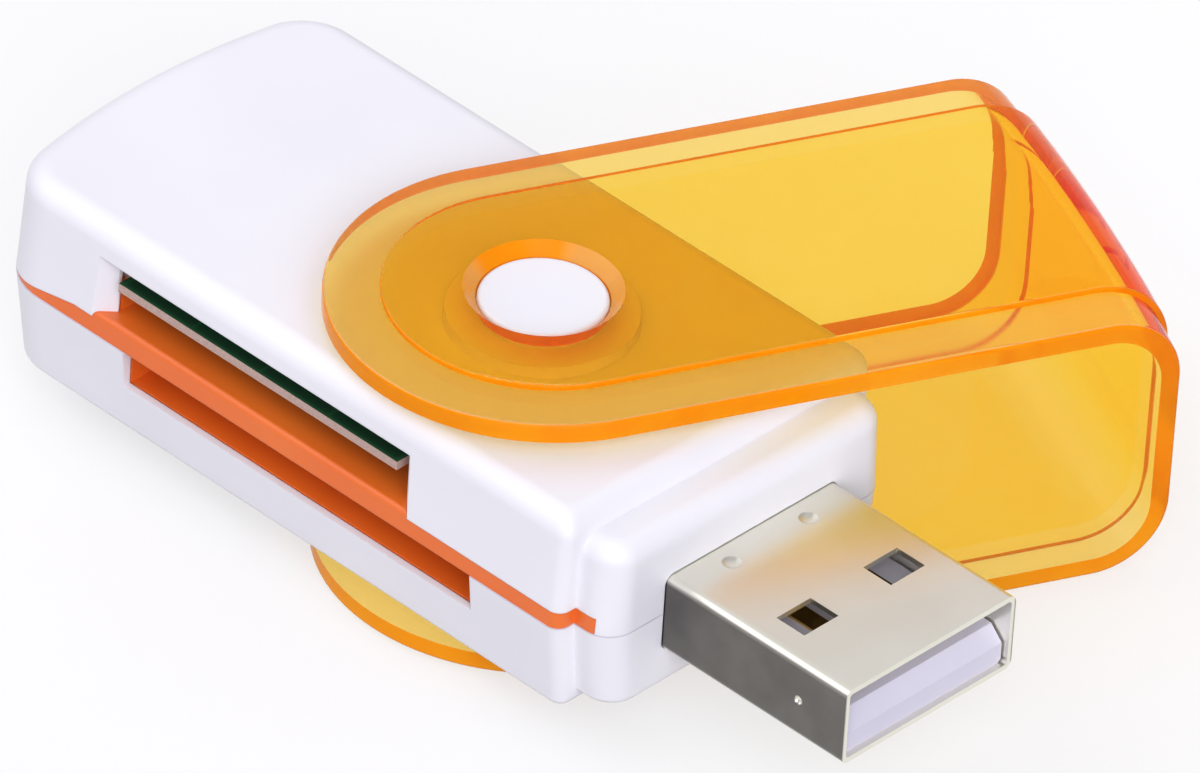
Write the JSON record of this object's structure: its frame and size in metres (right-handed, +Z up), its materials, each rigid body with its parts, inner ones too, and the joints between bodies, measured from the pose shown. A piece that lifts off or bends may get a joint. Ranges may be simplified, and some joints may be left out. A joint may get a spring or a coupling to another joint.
{
  "type": "usb memory card reader",
  "caption": "Pocket USB card reader: a moulded body with card slots in its long sides and a USB plug at its front, and a clear U-shaped cap that swivels on a boss to cover the plug.",
  "frame": {"origin": "middle of the USB plug where it leaves the face of the nose", "axes": "+X out along the USB plug, +Z up along the cap's swivel axis, -Y towards the side with the two large card slots"},
  "size_m": [0.0555, 0.0426, 0.0161],
  "materials": {
    "white_abs": "white moulded plastic, fine satin",
    "orange_abs": "orange moulded plastic, satin",
    "clear_orange": "clear orange moulded plastic, polished",
    "plated_steel": "nickel-plated sheet steel",
    "white_insulator": "white moulded insulator",
    "green_board": "green solder mask over glass laminate",
    "black_resin": "black moulded chip package",
    "bright_can": "bright metal can",
    "tan_ceramic": "tan ceramic",
    "black_ceramic": "black ceramic",
    "contact_metal": "gold-flashed spring metal"
  },
  "bodies": {
    "reader": {"bottom_cover": "white_abs", "capacitor_1": "tan_ceramic", "capacitor_2": "tan_ceramic", "capacitor_3": "tan_ceramic", "card_frame": "orange_abs", "circuit_board": "green_board", "controller_chip": "black_resin", "crystal": "bright_can", "m2_contact_1": "contact_metal", "m2_contact_10": "contact_metal", "m2_contact_11": "contact_metal", "m2_contact_2": "contact_metal", "m2_contact_3": "contact_metal", "m2_contact_4": "contact_metal", "m2_contact_5": "contact_metal", "m2_contact_6": "contact_metal", "m2_contact_7": "contact_metal", "m2_contact_8": "contact_metal", "m2_contact_9": "contact_metal", "microsd_contact_1": "contact_metal", "microsd_contact_2": "contact_metal", "microsd_contact_3": "contact_metal", "microsd_contact_4": "contact_metal", "microsd_contact_5": "contact_metal", "microsd_contact_6": "contact_metal", "microsd_contact_7": "contact_metal", "microsd_contact_8": "contact_metal", "ms_contact_1": "contact_metal", "ms_contact_10": "contact_metal", "ms_contact_2": "contact_metal", "ms_contact_3": "contact_metal", "ms_contact_4": "contact_metal", "ms_contact_5": "contact_metal", "ms_contact_6": "contact_metal", "ms_contact_7": "contact_metal", "ms_contact_8": "contact_metal", "ms_contact_9": "contact_metal", "resistor_1": "black_ceramic", "resistor_2": "black_ceramic", "sd_contact_1": "contact_metal", "sd_contact_2": "contact_metal", "sd_contact_3": "contact_metal", "sd_contact_4": "contact_metal", "sd_contact_5": "contact_metal", "sd_contact_6": "contact_metal", "sd_contact_7": "contact_metal", "sd_contact_8": "contact_metal", "sd_contact_9": "contact_metal", "top_cover": "white_abs", "usb_contact_1": "contact_metal", "usb_contact_2": "contact_metal", "usb_contact_3": "contact_metal", "usb_contact_4": "contact_metal", "usb_shell": "plated_steel", "usb_tongue": "white_insulator"},
    "cap": {"swivel_cap": "clear_orange"}
  },
  "joints": [
    {"name": "cap_swivel", "type": "hinge", "parent": "reader", "child": "cap", "pos_m": [-0.01485, 0, 0.00075], "axis": [0, 0, 1], "continuous": true}
  ]
}
